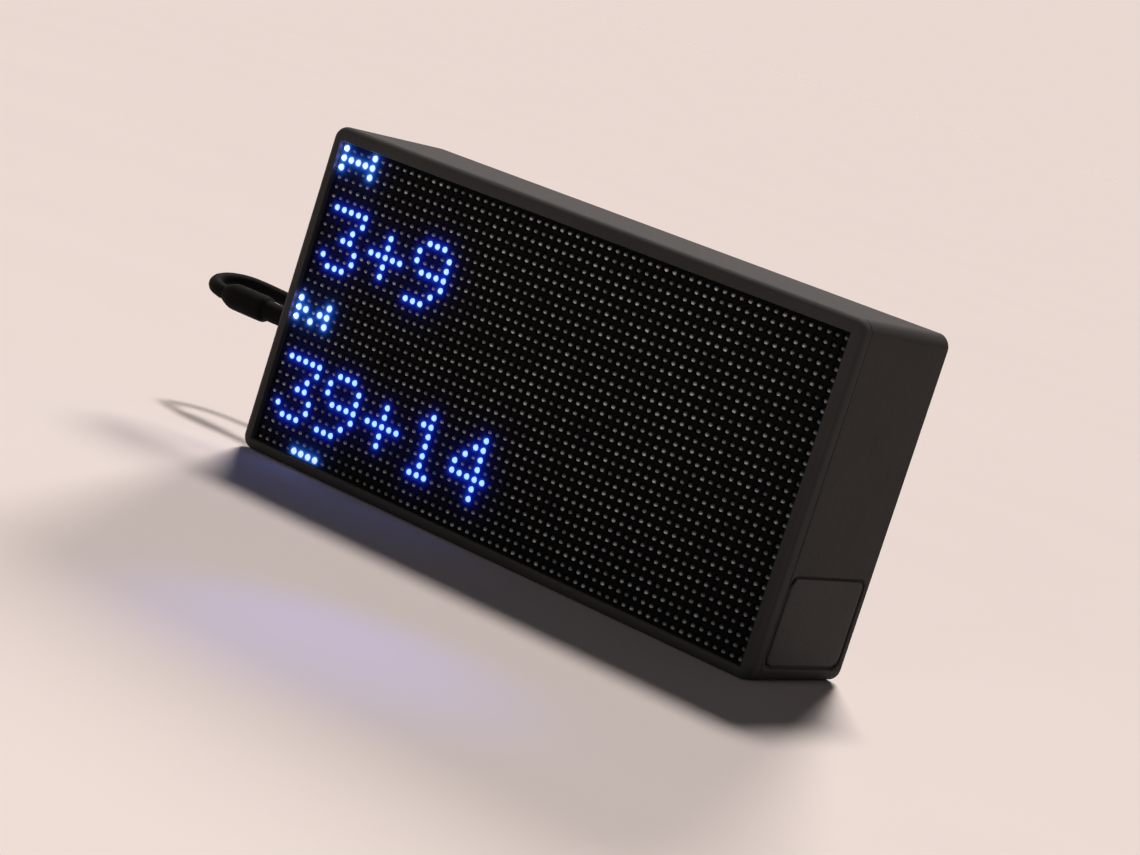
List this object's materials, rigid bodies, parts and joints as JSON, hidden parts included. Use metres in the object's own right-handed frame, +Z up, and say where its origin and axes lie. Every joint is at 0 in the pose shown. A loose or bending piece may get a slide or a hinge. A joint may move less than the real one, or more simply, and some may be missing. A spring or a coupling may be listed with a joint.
{
  "type": "dot-matrix desk clock",
  "caption": "Box-shaped desk clock: a dot-matrix lamp display in a slim rounded bezel shows the time as sums; rear setting buttons and a captive power lead.",
  "frame": {"origin": "under the middle of the case, on the surface that it stands on", "axes": "+X to the viewer's right along the case, +Y to the back, +Z up; the display faces -Y"},
  "size_m": [0.2173, 0.0893, 0.087],
  "materials": {
    "bezel_plastic": "matte charcoal printed plastic with fine layer lines",
    "case_plastic": "matte charcoal printed plastic",
    "plate_plastic": "matte charcoal plastic inlay, bare",
    "cover_plastic": "matte charcoal plastic",
    "black_steel": "blackened steel screws",
    "mask_plastic": "black moulded mask",
    "lamp_resin": "clear resin lamp lenses, some lit blue-white",
    "circuit_board": "dark green solder mask",
    "frame_plastic": "black moulded frame",
    "brass": "turned brass",
    "steel": "zinc-plated steel",
    "chip_plastic": "black moulded epoxy",
    "connector_plastic": "black moulded connector",
    "pale_connector": "ivory moulded plastic",
    "wire_insulation": "red wire insulation",
    "tinned_can": "tinned screening can",
    "capacitor_sleeve": "dark blue sleeve",
    "ribbon_grey": "grey flat cable",
    "terminal_green": "green moulded terminal",
    "button_plastic": "matte grey-black push-buttons",
    "cord_rubber": "black soft jacket, slightly satin",
    "tie_fabric": "black hook-and-loop strap",
    "plated_steel": "nickel-plated steel"
  },
  "bodies": {
    "case": {"front_bezel": "bezel_plastic", "case_shell": "case_plastic", "side_plate": "plate_plastic", "rear_cover": "cover_plastic", "rear_cover_screws": "black_steel", "led_mask": "mask_plastic", "led_lamps": "lamp_resin", "panel_board": "circuit_board", "panel_frame": "frame_plastic", "frame_inserts": "brass", "panel_screws": "steel", "driver_chips": "chip_plastic", "data_socket_in": "connector_plastic", "data_socket_out": "connector_plastic", "panel_power_socket": "pale_connector", "panel_power_plug": "pale_connector", "panel_power_wires": "wire_insulation", "controller_board": "circuit_board", "board_screws": "steel", "processor_module": "tinned_can", "clock_chip": "chip_plastic", "coin_cell_holder": "connector_plastic", "coin_cell": "steel", "reservoir_capacitor": "capacitor_sleeve", "board_data_header": "connector_plastic", "ribbon_plug_panel": "connector_plastic", "ribbon_plug_board": "connector_plastic", "ribbon_cable": "ribbon_grey", "inlet_terminal": "terminal_green", "panel_terminal": "terminal_green", "inlet_wires": "wire_insulation", "switch_set": "chip_plastic", "switch_up": "chip_plastic", "switch_down": "chip_plastic", "strain_relief": "cord_rubber", "power_lead": "cord_rubber", "lead_coil": "cord_rubber", "coil_tie": "tie_fabric", "plug_grip": "cord_rubber", "plug_shell": "plated_steel", "plug_tongue": "pale_connector"},
    "set_key": {"button_set": "button_plastic", "plunger_set": "pale_connector"},
    "up_key": {"button_up": "button_plastic", "plunger_up": "pale_connector"},
    "down_key": {"button_down": "button_plastic", "plunger_down": "pale_connector"}
  },
  "joints": [
    {"name": "set_press", "type": "slide", "parent": "case", "child": "set_key", "axis": [0, -1, 0], "range_m": [0, 0.0005], "stiffness_N_per_m": 800},
    {"name": "up_press", "type": "slide", "parent": "case", "child": "up_key", "axis": [0, -1, 0], "range_m": [0, 0.0005], "stiffness_N_per_m": 800},
    {"name": "down_press", "type": "slide", "parent": "case", "child": "down_key", "axis": [0, -1, 0], "range_m": [0, 0.0005], "stiffness_N_per_m": 800}
  ]
}
